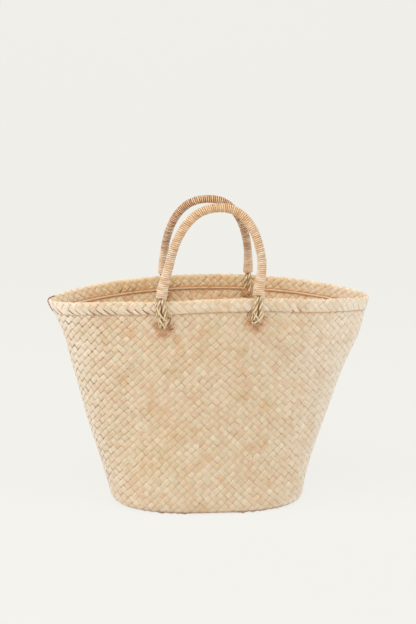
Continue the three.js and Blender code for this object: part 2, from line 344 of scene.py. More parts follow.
class HemChart(Chart):
    """The hem laid flat: s runs round the mouth from the middle of the front, t up its outside, over
    the edge and down its inside."""

    def __init__(self):
        self.turns = np.linspace(0, 360, 1441)
        loop = wall_point((270 + self.turns) % 360, RIM_HEIGHT - 15.0, 1.0)
        self.arc = arc_table(loop)
        self.round = self.arc[-1]
        self.outside = CLEARANCE + HEM_THICKNESS / 2
        self.bend = self.outside + WALL / 2
        self.centre_drop = self.bend + HEM_THICKNESS / 2
        self.straight = HEM_HEIGHT - self.centre_drop
        self.length = 2 * self.straight + math.pi * self.bend

    def angle(self, s):
        return (270 + np.interp(s % self.round, self.arc, self.turns)) % 360

    def from_edge(self, t):
        """Height over the lower edge outside. The plait's rows start half a row above it."""
        return t + HEM_FIRST_ROW

    def on_top(self, s, t):
        """The last row outside is all falling strips and the last row inside all rising ones."""
        up = self.from_edge(t)
        return np.where(up < HEM_LAST_ROW, -1.0, np.where(up > self.length - HEM_LAST_ROW, 1.0, 0.0))

    def tone(self, s, t, tint):
        """The side turned in is more golden: it takes the first fifth of the hem's shades, painted light that
        stands for the warm light bounced round the basket's inside.
        """
        return np.where(self.from_edge(t) > self.length / 2, 0.25 * tint, 0.25 + 0.75 * tint)

    def browned_and_shaded(self, s, t, rng):
        """Brown slits between the strips of the last rows, at the places in HEM_SLITS: the strips' edges are
        painted brown there, partly as dried leaf and partly as painted shade of the slits.
        """
        angle = self.angle(s)
        brown = rng.uniform(0, 0.6, s.size)
        for face, low, high in HEM_SLITS:
            up = self.from_edge(t)
            row = up < HEM_LAST_ROW if face == "outside" else up > self.length - HEM_LAST_ROW
            brown = np.where(row & (angle > low) & (angle < high), rng.uniform(0.72, 1.0, s.size), brown)
        return brown

    def inside(self, s, t):
        up = self.from_edge(t)
        return (up > -3.3) & (up < self.length + 3.3)

    def place(self, s, t, lift):
        t = np.clip(self.from_edge(t), 0, self.length)
        angle = self.angle(s)
        over = np.clip((t - self.straight) / self.bend, 0, math.pi)
        down = np.maximum(t - self.straight - math.pi * self.bend, 0)
        up = np.minimum(t, self.straight)
        # pressed to the wall along both lower edges, and a little wavy along the fold
        pressed = 0.8 * (1 - smooth(np.minimum(t, self.length - t), 0, 7))
        down = down * (1 - tip_pinch(angle) / self.straight)
        wavy = 0.45 * np.sin(s * TAU / 14.5 + 2 * np.sin(s * TAU / 97)) * np.sin(over)
        reach = self.bend + lift - pressed
        out = -WALL / 2 + reach * np.cos(over)
        z = rim_top(angle) - HEM_HEIGHT + up + reach * np.sin(over) - down + wavy
        return wall_point(angle, z, out)


# The plait

# One bias strip's section, from its left edge over its face and back along its underside: the share of
# its half width, and the height over its middle in millimetres.
STRIP_SECTION = np.array([(-1, 0.0), (-0.5, 0.42), (0.5, 0.42), (1, 0.0),
                          (1, -0.16), (0.6, -0.3), (-0.6, -0.3), (-1, -0.16)])

# Where a strip is cut between two crossings, as a share of a cell from its middle, and its height there.
CELL_CUTS = np.array([(-0.5, 0.0), (-0.36, 0.8), (0.0, 1.0), (0.36, 0.8)])

# The first points of STRIP_SECTION lie on the strip's outer face.
FACE_POINTS = 4

# The share of a strip's length that it gains along each side of its chart
BIAS = math.sqrt(0.5)


def chart_place(along, across, rising):
    """Where a point of a strip lies on its chart."""
    return (along + across) * BIAS, (along - across) * BIAS * (1 if rising else -1)


def plait(chart, rising, width, reach, height, rng, round_strips=0):
    """The strips of one direction of a plait, as runs of rings. rising strips lean to the right as they
    go up. A run is (rings of points, leaf coordinates, tint, dip, burn)."""
    runs = []
    count = round_strips or int(2 * reach / width)
    first = 0 if round_strips else -count // 2
    cells = int(2 * reach / width) // 2
    for i in range(first, first + count):
        across = (i + 0.5) * width
        j = np.arange(-cells, cells)
        if round_strips:
            start = i if rising else -i
            j = np.arange(start - 1, start + int(chart.length / BIAS / width) + 3)
            if not rising:
                j = -j[::-1]
        n = j.size
        over = np.where((i + j) % 2 == 0, 1.0, -1.0) * (1 if rising else -1)
        middle_s, middle_t = chart_place(j * width + width / 2, across, rising)
        forced = chart.on_top(middle_s, middle_t) * (1 if rising else -1)
        over = np.where(forced == 0, over, forced)
        each = np.where(rng.uniform(0, 1, n) < 0.12, 0.88, rng.uniform(0.95, 1.04, n))
        wide = width / 2 * rng.uniform(0.98, 1.04) * each
        wander = np.convolve(rng.normal(0, 0.5, n + 2), np.ones(3) / 3, "valid")
        rise = over * height * rng.uniform(0.85, 1.2, n) * chart.fullness(middle_s, middle_t)
        strip_tint = rng.uniform(0, 1)
        tint = chart.tone(middle_s, middle_t, 0.2 + 0.25 * strip_tint + 0.38 * rng.uniform(0, 1, n))
        burn = chart.browned_and_shaded(middle_s, middle_t, rng)
        tilt = rng.normal(0, 0.13, n)
        t_cell = (j[:, None] + 0.5 + CELL_CUTS[None, :, 0]).ravel() * width
        shape = CELL_CUTS[:, 1]
        level = (rise[:, None] * shape).ravel()
        dip = 1 - np.clip((over[:, None] * shape), 0, 1).ravel()
        near = np.repeat(np.arange(n), len(shape))
        previous = np.maximum(near - 1, 0)
        cut = np.tile(np.arange(len(shape)), n)

        def per_cell(values):
            here = values[near]
            return np.where(cut == 0, 0.5 * (here + values[previous]), here)

        half = per_cell(wide)
        aside = per_cell(wander)
        lean = per_cell(tilt) * np.where(cut == 0, 0, 1)
        s0, t0 = chart_place(t_cell, across + aside, rising)
        keep = chart.inside(s0, t0)
        u = STRIP_SECTION[None, :, 0] * half[:, None]
        if rising:
            s, t = s0[:, None] + u * BIAS, t0[:, None] - u * BIAS
        else:
            s, t = s0[:, None] + u * BIAS, t0[:, None] + u * BIAS
        lift = level[:, None] + STRIP_SECTION[None, :, 1] + lean[:, None] * STRIP_SECTION[None, :, 0]
        edges = np.flatnonzero(np.diff(np.concatenate([[0], keep.astype(int), [0]])))
        for start, stop in zip(edges[::2], edges[1::2]):
            if stop - start < 3:
                continue
            part = slice(start, stop)
            points = chart.place(s[part], t[part], lift[part])
            leaf = np.stack([u[part] / width * 2, np.broadcast_to(t_cell[part, None], u[part].shape),
                             np.full(u[part].shape, i * 3.7 + rng.uniform(0, 400))], -1)
            rings = [np.repeat(values[part, None], len(STRIP_SECTION), 1)
                     for values in (per_cell(tint), dip, per_cell(burn))]
            runs.append((points, leaf, *rings))
    return runs


def strips_object(name, runs, material, flip=False):
    """One mesh of many closed strips, each a run of rings, with the attributes that its material reads."""
    points, leaf, faces, sizes = [], [], [], []
    values = {"tint": [], "dip": [], "burn": [], "inside": []}
    start = 0
    for rings, leaf_at, tint, dip, burn in runs:
        n, m = rings.shape[:2]
        index = start + np.arange(n * m).reshape(n, m)
        a, b = index[:-1], index[1:]
        quads = np.stack([a, np.roll(a, -1, 1), np.roll(b, -1, 1), b], -1).reshape(-1, 4)
        ends = [index[0][::-1], index[-1]]
        if flip:
            quads = quads[:, ::-1]
            ends = [end[::-1] for end in ends]
        faces += [quads.ravel(), *ends]
        sizes += [np.full(len(quads), 4), np.array([m, m])]
        points.append(rings.reshape(-1, 3))
        leaf.append(leaf_at.reshape(-1, 3))
        inside = np.broadcast_to(np.arange(m) >= FACE_POINTS, (n, m))
        for key, value in zip(values, (tint, dip, burn, inside)):
            values[key].append(np.asarray(value, float).ravel())
        start += n * m
    points = np.concatenate(points) * MM
    loops = np.concatenate(faces).astype(np.int32)
    sizes = np.concatenate(sizes).astype(np.int32)
    mesh = bpy.data.meshes.new(name)
    mesh.vertices.add(len(points))
    mesh.vertices.foreach_set("co", points.astype(np.float32).ravel())
    mesh.loops.add(len(loops))
    mesh.loops.foreach_set("vertex_index", loops)
    mesh.polygons.add(len(sizes))
    mesh.polygons.foreach_set("loop_start", (np.cumsum(sizes) - sizes).astype(np.int32))
    mesh.polygons.foreach_set("use_smooth", np.ones(len(sizes), bool))
    mesh.update(calc_edges=True)
    leaf_layer = mesh.attributes.new("leaf", "FLOAT_VECTOR", "POINT")
    leaf_layer.data.foreach_set("vector", np.concatenate(leaf).astype(np.float32).ravel())
    for key, value in values.items():
        layer = mesh.attributes.new(key, "FLOAT", "POINT")
        layer.data.foreach_set("value", np.concatenate(value).astype(np.float32))
    mesh.validate()
    mesh.materials.append(material)
    obj = bpy.data.objects.new(name, mesh)
    bpy.context.scene.collection.objects.link(obj)
    return obj


# Nodes


def add(tree, kind, settings=None, **inputs):
    """A node of that kind, with its settings and its inputs, each a value or another node's socket."""
    node = tree.nodes.new(kind)
    for key, value in (settings or {}).items():
        setattr(node, key, value)
    for key, value in inputs.items():
        place = int(key[2:]) if key.startswith("i_") else key.replace("_", " ")
        socket = node.inputs[place]
        if isinstance(value, bpy.types.NodeSocket):
            tree.links.new(value, socket)
        else:
            socket.default_value = value
    return node


def linear(hex_colour):
    """A colour given as sRGB hex, in linear light and opaque."""
    parts = [int(hex_colour[i:i + 2], 16) / 255 for i in (0, 2, 4)]
    return [p / 12.92 if p <= 0.04045 else ((p + 0.055) / 1.055) ** 2.4 for p in parts] + [1.0]


def ramp(tree, value, stops):
    node = add(tree, "ShaderNodeValToRGB", Fac=value)
    band = node.color_ramp.elements
    while len(band) < len(stops):
        band.new(0.5)
    for element, (place, colour) in zip(band, stops):
        element.position = place
        element.color = linear(colour)
    return node.outputs["Color"]


def mix(tree, amount, first, second, how="MIX"):
    node = add(tree, "ShaderNodeMix", {"data_type": "RGBA", "blend_type": how},
               i_0=amount, i_6=first, i_7=second)
    return node.outputs[2]


def math_node(tree, how, first, second=0.0, third=0.0):
    node = add(tree, "ShaderNodeMath", {"operation": how}, i_0=first, i_1=second, i_2=third)
    return node.outputs[0]


def map_range(tree, value, low, high, to_low=0.0, to_high=1.0):
    node = add(tree, "ShaderNodeMapRange", {"interpolation_type": "SMOOTHSTEP"}, Value=value,
               From_Min=low, From_Max=high, To_Min=to_low, To_Max=to_high)
    return node.outputs[0]


def attribute(tree, name, kind="Fac"):
    """A named attribute of the mesh: a number, or a vector where kind says so."""
    return add(tree, "ShaderNodeAttribute", {"attribute_name": name}).outputs[kind]


def grey(tree, value):
    return add(tree, "ShaderNodeCombineColor", Red=value, Green=value, Blue=value).outputs[0]


def new_material(name):
    material = bpy.data.materials.new(name)
    material.use_nodes = True
    tree = material.node_tree
    tree.nodes.clear()
    return material, tree


def finish_material(tree, colour, roughness, height, relief, sheen=0.0, soft=0.0):
    """A plant fibre: a dielectric of IOR 1.46 whose fibres stand relief millimetres proud."""
    bump = add(tree, "ShaderNodeBump", Strength=1.0, Distance=relief * MM, Height=height)
    shader = add(tree, "ShaderNodeBsdfPrincipled", Base_Color=colour, Roughness=roughness, IOR=1.46,
                 Normal=bump.outputs[0])
    shader.inputs["Sheen Weight"].default_value = sheen
    shader.inputs["Sheen Roughness"].default_value = 0.5
    shader.inputs["Specular IOR Level"].default_value = soft
    add(tree, "ShaderNodeOutputMaterial", Surface=shader.outputs[0])


def leaf_material(name, shades, crevice_shade_colour, crevice_shade_strength, brown_and_shade_colour, long_edges=False, rubbed=()):
    """Dried palm leaf: satin, pale, with fine fibres along each strip. Some leaves are pinker, greener or
    browner than the rest, and their edges brown where they dried out. Some light and shade are painted into
    the colour too: warm lines where the strips dip under each other, part of the brown at corners and slits,
    shade along the foot, a paler inner face for the light inside, and part of the paleness at the ends for
    sheen."""
    material, tree = new_material(name)
    tint, dip, burn, inside = (attribute(tree, key) for key in ("tint", "dip", "burn", "inside"))
    outside = math_node(tree, "SUBTRACT", 1.0, inside)
    split = add(tree, "ShaderNodeSeparateXYZ", Vector=attribute(tree, "leaf", "Vector")).outputs
    place = add(tree, "ShaderNodeTexCoord").outputs["Object"]
    sideways, _, height = add(tree, "ShaderNodeSeparateXYZ", Vector=place).outputs
    # across the strip in shares of its half width, along it in millimetres, and a number of its own
    fibres_at = add(tree, "ShaderNodeCombineXYZ", X=math_node(tree, "MULTIPLY", split[0], 4.4),
                    Y=math_node(tree, "MULTIPLY", split[1], 0.06), Z=split[2])
    # fibres about 0.5 mm apart, coarser than the real 0.2 mm so that they show
    fibres = add(tree, "ShaderNodeTexNoise", Vector=fibres_at.outputs[0], Scale=2.2, Detail=3.0,
                 Roughness=0.6)
    blotch_at = add(tree, "ShaderNodeCombineXYZ", X=math_node(tree, "MULTIPLY", split[0], 0.8),
                    Y=math_node(tree, "MULTIPLY", split[1], 0.05), Z=split[2])
    blotch = add(tree, "ShaderNodeTexNoise", Vector=blotch_at.outputs[0], Scale=1.0, Detail=2.0,
                 Roughness=0.5)
    shade = math_node(tree, "ADD", tint, math_node(tree, "MULTIPLY_ADD", blotch.outputs[0], 0.6, -0.3))
    colour = ramp(tree, shade, shades)
    # one square is a little pinker than its neighbours and another a little greener
    cast = ramp(tree, burn, [(0.0, "FBEFEA"), (0.12, "FDF8F4"), (0.3, "FFFFFF"), (0.45, "F9FAF6"),
                             (0.5, "F4F6F1"), (0.65, "FFFFFF")])
    colour = mix(tree, 1.0, colour, cast, "MULTIPLY")
    # paler towards the right end, and a little at the left end: painted sheen where the wall turns away from
    # the front, and at the right end the leaf is bleached as well
    colour = mix(tree, map_range(tree, sideways, 0.08, 0.24, 0.0, 0.55), colour, linear("F5ECDD"))
    colour = mix(tree, map_range(tree, sideways, -0.15, -0.22, 0.0, 0.35), colour, linear("FBF3E4"))
    # and painted shade along its foot, darker and browner where it meets the floor
    colour = mix(tree, map_range(tree, height, 0.007, 0.001), colour, linear("B87A44"), "MULTIPLY")
    # patches a few squares wide where a bundle of leaf was pinker, or greener, than the next
    for scale, low, tone in LEAF_PATCHES:
        patch = add(tree, "ShaderNodeTexNoise", {"noise_dimensions": "4D"}, Vector=place, W=scale,
                    Scale=scale, Detail=2.0, Roughness=0.6).outputs[0]
        amount = math_node(tree, "MULTIPLY", map_range(tree, patch, low, low + 0.14), PATCH_STRENGTH)
        colour = mix(tree, amount, colour, linear(tone), "MULTIPLY")
    ribs = add(tree, "ShaderNodeTexNoise", Vector=fibres_at.outputs[0], Scale=0.75, Detail=1.0).outputs[0]
    streaks = math_node(tree, "ADD", map_range(tree, fibres.outputs[0], 0.3, 0.7, 0.425, 0.55),
                        map_range(tree, ribs, 0.35, 0.65, 0.43, 0.555))
    colour = mix(tree, 1.0, colour, grey(tree, streaks), "MULTIPLY")
    # pinker and darker where the handles' feet have rubbed and stained the leaf
    for spot in rubbed:
        away = vector_node(tree, "DISTANCE", place, spot)
        near = map_range(tree, math_node(tree, "MULTIPLY_ADD", ribs, 0.014, away), 0.03, 0.014, 0.0, 0.5)
        near = math_node(tree, "MULTIPLY", near, outside)
        colour = mix(tree, near, colour, linear("EDB68C"), "MULTIPLY")
    # painted light: the leaf's inner face is made paler and more golden than its outer face, standing in for
    # the light that fills the basket's inside
    colour = mix(tree, math_node(tree, "MULTIPLY", inside, 0.65), colour, linear("FFF0CA"))
    # painted shade: thin, warm lines round each square, where one strip dips under the next, strong in some
    # places and faded in others
    shade_fade = add(tree, "ShaderNodeTexNoise", Vector=place, Scale=60.0, Detail=3.0, Roughness=0.8).outputs[0]
    side = math_node(tree, "ABSOLUTE", split[0])
    line = math_node(tree, "MAXIMUM", map_range(tree, dip, 0.66, 0.98), map_range(tree, side, 0.88, 0.97))
    line = math_node(tree, "MULTIPLY", line, map_range(tree, shade_fade, 0.42, 0.6, 0.12, 1.0))
    line = math_node(tree, "MULTIPLY", line, map_range(tree, burn, 0.0, 0.6, 0.3, 1.0))
    strength = math_node(tree, "MULTIPLY_ADD", inside, -0.5 * crevice_shade_strength, crevice_shade_strength)
    line = math_node(tree, "MULTIPLY", line, strength)
    colour = mix(tree, line, colour, linear(crevice_shade_colour), "MULTIPLY")
    # brown spots at the corners of a few squares, or brown edges right along the strip: partly the leaf's
    # dried brown, partly painted shade of the small gaps where the strips cross and of the slits between the
    # hem's strips
    brown = math_node(tree, "MULTIPLY", map_range(tree, burn, 0.65, 0.9), outside)
    corner = math_node(tree, "MULTIPLY", map_range(tree, split[0], 0.45, 0.8),
                       map_range(tree, dip, 0.1, 0.35))
    edge = map_range(tree, side, 0.5, 0.8) if long_edges else corner
    colour = mix(tree, math_node(tree, "MULTIPLY", edge, brown), colour, linear(brown_and_shade_colour))
    roughness = map_range(tree, fibres.outputs[0], 0.2, 0.8, 0.62, 0.44)
    finish_material(tree, colour, roughness, fibres.outputs[0], 0.12, sheen=0.9, soft=0.3)
    return material


def fibre_material(name, shades, groove_shade_colour, streak_low=0.8, groove_shade_strength=0.9, sheen=0.1,
                   golden_top=0.0):
    """Raffia or palm cord: fine fibres along the strand, from its own attributes. ring is the place
    round the strand and along the length from its start, both in millimetres."""
    material, tree = new_material(name)
    along, proud = (attribute(tree, key) for key in ("along", "proud"))
    split = add(tree, "ShaderNodeSeparateXYZ", Vector=attribute(tree, "ring", "Vector")).outputs
    place = add(tree, "ShaderNodeCombineXYZ", X=split[0], Y=split[1],
                Z=math_node(tree, "MULTIPLY", along, 0.07))
    fibres = add(tree, "ShaderNodeTexNoise", Vector=place.outputs[0], Scale=2.6, Detail=3.0,
                 Roughness=0.6)
    drift = add(tree, "ShaderNodeTexNoise", {"noise_dimensions": "1D"}, W=along, Scale=0.045, Detail=2.0)
    shade = math_node(tree, "MULTIPLY_ADD", drift.outputs[0], 1.1, -0.05)
    colour = ramp(tree, shade, shades)
    streaks = map_range(tree, fibres.outputs[0], 0.3, 0.7, streak_low, 1.12)
    colour = mix(tree, 1.0, colour, grey(tree, streaks), "MULTIPLY")
    # more golden above 0.4 m, over the tops of the arches
    where = add(tree, "ShaderNodeTexCoord").outputs["Object"]
    height = add(tree, "ShaderNodeSeparateXYZ", Vector=where).outputs[2]
    golden = map_range(tree, height, 0.4, 0.46, 0.0, golden_top)
    colour = mix(tree, golden, colour, linear("FFEAC6"), "MULTIPLY")
    # painted shade in the grooves between turns and plies, deepest where the strand lies lowest
    groove_shade = map_range(tree, proud, 0.96, 0.7, 0.0, groove_shade_strength)
    colour = mix(tree, groove_shade, colour, linear(groove_shade_colour), "MULTIPLY")
    finish_material(tree, colour, 0.55, fibres.outputs[0], 0.3, sheen=sheen, soft=0.4)
    return material


# Geometry Nodes


def new_tree(name, sizes):
    """A geometry tree with named inputs: floats and whole numbers by their value, and a material."""
    tree = bpy.data.node_groups.new(name, "GeometryNodeTree")
    face = tree.interface
    face.new_socket("Geometry", in_out="INPUT", socket_type="NodeSocketGeometry")
    face.new_socket("Geometry", in_out="OUTPUT", socket_type="NodeSocketGeometry")
    for label, value in sizes.items():
        kind = "NodeSocketInt" if isinstance(value, int) else "NodeSocketFloat"
        face.new_socket(label, in_out="INPUT", socket_type=kind).default_value = value
    face.new_socket("Material", in_out="INPUT", socket_type="NodeSocketMaterial")
    return tree, tree.nodes.new("NodeGroupInput").outputs, tree.nodes.new("NodeGroupOutput").inputs


def vector_node(tree, how, first, second=(0, 0, 0), scale=1.0):
    settings = {"operation": how}
    node = add(tree, "ShaderNodeVectorMath", settings, i_0=first, i_1=second)
    if how == "SCALE":
        if isinstance(scale, bpy.types.NodeSocket):
            tree.links.new(scale, node.inputs["Scale"])
        else:
            node.inputs["Scale"].default_value = scale
    return node.outputs["Value" if how in ("LENGTH", "DISTANCE") else "Vector"]


def named(tree, name, kind="FLOAT"):
    return add(tree, "GeometryNodeInputNamedAttribute", {"data_type": kind}, Name=name).outputs[0]


def store(tree, geometry, name, value, kind="FLOAT"):
    node = add(tree, "GeometryNodeStoreNamedAttribute", {"data_type": kind, "domain": "POINT"},
               Geometry=geometry, Name=name, Value=value)
    return node.outputs[0]


def winding_tree():
    """One strand wound round a line of edges, as raffia is bound round a rope, or as one ply of a cord."""
    tree, sizes, out = new_tree("wound_strand", {
        "Winding Radius": 0.005, "Pitch": 0.003, "Strand Radius": 0.0015, "Phase": 0.0,
        "Unevenness": 0.1, "Steps per Turn": 20, "Sides": 8, "Seed": 1,
    })
    line = add(tree, "GeometryNodeMeshToCurve", Mesh=sizes["Geometry"]).outputs[0]
    length = add(tree, "GeometryNodeCurveLength", Curve=line).outputs[0]
    turns = math_node(tree, "DIVIDE", length, sizes["Pitch"])
    count = math_node(tree, "CEIL", math_node(tree, "MULTIPLY_ADD", turns, sizes["Steps per Turn"], 1.0))
    line = add(tree, "GeometryNodeResampleCurve", {"mode": "COUNT"}, Curve=line, Count=count).outputs[0]
    line = add(tree, "GeometryNodeSetCurveNormal", {"mode": "MINIMUM_TWIST"}, Curve=line).outputs[0]
    index = add(tree, "GeometryNodeInputIndex").outputs[0]
    turn = math_node(tree, "DIVIDE", index, sizes["Steps per Turn"])
    angle = math_node(tree, "MULTIPLY_ADD", turn, TAU, sizes["Phase"])
    chance = math_node(tree, "MULTIPLY_ADD", turn, 1.7, math_node(tree, "MULTIPLY", sizes["Seed"], 31.7))
    noise = add(tree, "ShaderNodeTexNoise", {"noise_dimensions": "1D"}, W=chance, Scale=1.0,
                Detail=1.0).outputs[0]
    uneven = math_node(tree, "MULTIPLY", math_node(tree, "SUBTRACT", noise, 0.5), sizes["Unevenness"])
    wider = math_node(tree, "ADD", uneven, math_node(tree, "ADD", named(tree, "fuller"), 1.0))
    reach = math_node(tree, "MULTIPLY", sizes["Winding Radius"], wider)
    normal = add(tree, "GeometryNodeInputNormal").outputs[0]
    tangent = add(tree, "GeometryNodeInputTangent").outputs[0]
    side = vector_node(tree, "CROSS_PRODUCT", tangent, normal)
    over = math_node(tree, "MULTIPLY", reach, math_node(tree, "COSINE", angle))
    aside = math_node(tree, "MULTIPLY", reach, math_node(tree, "SINE", angle))
    offset = vector_node(tree, "ADD", vector_node(tree, "SCALE", normal, scale=over),
                         vector_node(tree, "SCALE", side, scale=aside))
    wander = vector_node(tree, "SCALE", tangent, scale=math_node(
        tree, "MULTIPLY", uneven, math_node(tree, "MULTIPLY", sizes["Strand Radius"], 2.2)))
    round_way = math_node(tree, "MULTIPLY", sizes["Winding Radius"], TAU / MM)
    one_turn = math_node(tree, "SQRT", math_node(
        tree, "ADD", math_node(tree, "POWER", round_way, 2.0),
        math_node(tree, "POWER", math_node(tree, "DIVIDE", sizes["Pitch"], MM), 2.0)))
    along = math_node(tree, "MULTIPLY_ADD", turn, one_turn, math_node(tree, "MULTIPLY", sizes["Seed"], 211.0))
    position = add(tree, "GeometryNodeInputPosition").outputs[0]
    line = store(tree, line, "centre", position, "FLOAT_VECTOR")
    line = store(tree, line, "along", along)
    line = add(tree, "GeometryNodeSetPosition", Geometry=line,
               Offset=vector_node(tree, "ADD", offset, wander)).outputs[0]
    section = add(tree, "GeometryNodeCurvePrimitiveCircle", Resolution=sizes["Sides"],
                  Radius=sizes["Strand Radius"]).outputs[0]
    section = store(tree, section, "ring", vector_node(tree, "SCALE", position, scale=1 / MM), "FLOAT_VECTOR")
    scale = math_node(tree, "MULTIPLY_ADD", uneven, 1.2, 1.0)
    mesh = add(tree, "GeometryNodeCurveToMesh", Curve=line, Profile_Curve=section, Scale=scale,
               Fill_Caps=True).outputs[0]
    centre = named(tree, "centre", "FLOAT_VECTOR")
    away = vector_node(tree, "LENGTH", vector_node(tree, "SUBTRACT", position, centre))
    nearest = math_node(tree, "SUBTRACT", sizes["Winding Radius"], sizes["Strand Radius"])
    proud = math_node(tree, "DIVIDE", math_node(tree, "SUBTRACT", away, nearest),
                      math_node(tree, "MULTIPLY", sizes["Strand Radius"], 2.0))
    mesh = store(tree, mesh, "proud", proud)
    mesh = add(tree, "GeometryNodeSetShadeSmooth", Geometry=mesh).outputs[0]
    mesh = add(tree, "GeometryNodeRealizeInstances", Geometry=mesh).outputs[0]
    mesh = add(tree, "GeometryNodeSetMaterial", Geometry=mesh, Material=sizes["Material"]).outputs[0]
    tree.links.new(mesh, out["Geometry"])
    return tree


def stitch_tree():
    """One bowed stitch of thread at each point, along its aim and standing off its face."""
    tree, sizes, out = new_tree("short_stitches", {
        "Thread Radius": 0.0004, "Bow": 0.25, "Sides": 6, "Seed": 1,
    })
    bow = add(tree, "ShaderNodeCombineXYZ", X=0.0, Y=0.0, Z=sizes["Bow"]).outputs[0]
    arc = add(tree, "GeometryNodeCurveQuadraticBezier", Resolution=7, Start=(-0.5, 0, -0.08), Middle=bow,
              End=(0.5, 0, -0.08)).outputs[0]
    position = add(tree, "GeometryNodeInputPosition").outputs[0]
    arc = store(tree, arc, "along", add(tree, "GeometryNodeSplineParameter").outputs["Length"])
    section = add(tree, "GeometryNodeCurvePrimitiveCircle", Resolution=sizes["Sides"],
                  Radius=0.5).outputs[0]
    section = store(tree, section, "ring", position, "FLOAT_VECTOR")
    stitch = add(tree, "GeometryNodeCurveToMesh", Curve=arc, Profile_Curve=section, Scale=0.16,
                 Fill_Caps=True).outputs[0]
    turn = add(tree, "FunctionNodeAxesToRotation", {"primary_axis": "X", "secondary_axis": "Z"},
               Primary_Axis=named(tree, "aim", "FLOAT_VECTOR"),
               Secondary_Axis=named(tree, "face", "FLOAT_VECTOR")).outputs[0]
    chance = add(tree, "FunctionNodeRandomValue", {"data_type": "FLOAT"}, i_2=0.75, i_3=1.25,
                 Seed=sizes["Seed"]).outputs[1]
    thick = math_node(tree, "MULTIPLY", chance, math_node(tree, "MULTIPLY", sizes["Thread Radius"], 12.5))
    scale = add(tree, "ShaderNodeCombineXYZ", X=named(tree, "size"), Y=thick, Z=thick).outputs[0]
    places = add(tree, "GeometryNodeMeshToPoints", Mesh=sizes["Geometry"]).outputs[0]
    placed = add(tree, "GeometryNodeInstanceOnPoints", Points=places, Instance=stitch, Rotation=turn,
                 Scale=scale).outputs[0]
    mesh = add(tree, "GeometryNodeRealizeInstances", Geometry=placed).outputs[0]
    mesh = store(tree, mesh, "proud", 1.0)
    mesh = add(tree, "GeometryNodeSetShadeSmooth", Geometry=mesh).outputs[0]
    mesh = add(tree, "GeometryNodeSetMaterial", Geometry=mesh, Material=sizes["Material"]).outputs[0]
    tree.links.new(mesh, out["Geometry"])
    return tree


def grow(name, tree, base, material, **sizes):
    """The plain mesh that a tree makes from a base mesh."""
    holder = bpy.data.objects.new(name + "_base", base)
    bpy.context.scene.collection.objects.link(holder)
    modifier = holder.modifiers.new("shape", "NODES")
    modifier.node_group = tree
    for item in tree.interface.items_tree:
        if item.item_type != "SOCKET" or item.in_out != "INPUT":
            continue
        key = item.name.replace(" ", "_").lower()
        if key == "material":
            modifier[item.identifier] = material
        elif key in sizes:
            modifier[item.identifier] = sizes.pop(key)
    if sizes:
        raise ValueError(f"{tree.name} has no input for {list(sizes)}")
    bpy.context.view_layer.update()
    mesh = bpy.data.meshes.new_from_object(holder.evaluated_get(bpy.context.evaluated_depsgraph_get()))
    mesh.name = name
    bpy.data.objects.remove(holder)
    return mesh


def line_mesh(name, points, fuller=None):
    """A mesh of edges through points in millimetres. fuller is how much wider the winding is at each."""
    mesh = bpy.data.meshes.new(name)
    mesh.from_pydata((np.asarray(points) * MM).tolist(), [(i, i + 1) for i in range(len(points) - 1)], [])
    if fuller is not None:
        layer = mesh.attributes.new("fuller", "FLOAT", "POINT")
        layer.data.foreach_set("value", np.asarray(fuller, np.float32))
    return mesh


def points_mesh(name, points, **values):
    mesh = bpy.data.meshes.new(name)
    mesh.from_pydata((np.asarray(points) * MM).tolist(), [], [])
    for key, value in values.items():
        value = np.asarray(value, np.float32)
        vector = value.ndim == 2
        layer = mesh.attributes.new(key, "FLOAT_VECTOR" if vector else "FLOAT", "POINT")
        layer.data.foreach_set("vector" if vector else "value", value.ravel())
    return mesh


def joined(name, meshes):
    """One object of several meshes."""
    objects = []
    for mesh in meshes:
        obj = bpy.data.objects.new(name, mesh)
        bpy.context.scene.collection.objects.link(obj)
        objects.append(obj)
    if len(objects) > 1:
        with bpy.context.temp_override(active_object=objects[0], selected_editable_objects=objects,
                                       selected_objects=objects):
            bpy.ops.object.join()
    objects[0].name = name
    return objects[0]


def through(points, per_span=6):
    """A smooth line through points, as a centripetal Catmull-Rom spline."""
    points = np.asarray(points, float)
    ends = np.vstack([2 * points[0] - points[1], points, 2 * points[-1] - points[-2]])
    line = []
    for p0, p1, p2, p3 in zip(ends, ends[1:], ends[2:], ends[3:]):
        t0 = 0.0
        t1 = t0 + np.linalg.norm(p1 - p0) ** 0.5
        t2 = t1 + np.linalg.norm(p2 - p1) ** 0.5
        t3 = t2 + np.linalg.norm(p3 - p2) ** 0.5
        for t in np.linspace(t1, t2, per_span, endpoint=False):
            a1 = (t1 - t) / (t1 - t0) * p0 + (t - t0) / (t1 - t0) * p1
            a2 = (t2 - t) / (t2 - t1) * p1 + (t - t1) / (t2 - t1) * p2
            a3 = (t3 - t) / (t3 - t2) * p2 + (t - t2) / (t3 - t2) * p3
            b1 = (t2 - t) / (t2 - t0) * a1 + (t - t0) / (t2 - t0) * a2
            b2 = (t3 - t) / (t3 - t1) * a2 + (t - t1) / (t3 - t1) * a3
            line.append((t2 - t) / (t2 - t1) * b1 + (t - t1) / (t2 - t1) * b2)
    line.append(points[-1])
    return np.array(line)


# Handles and feet


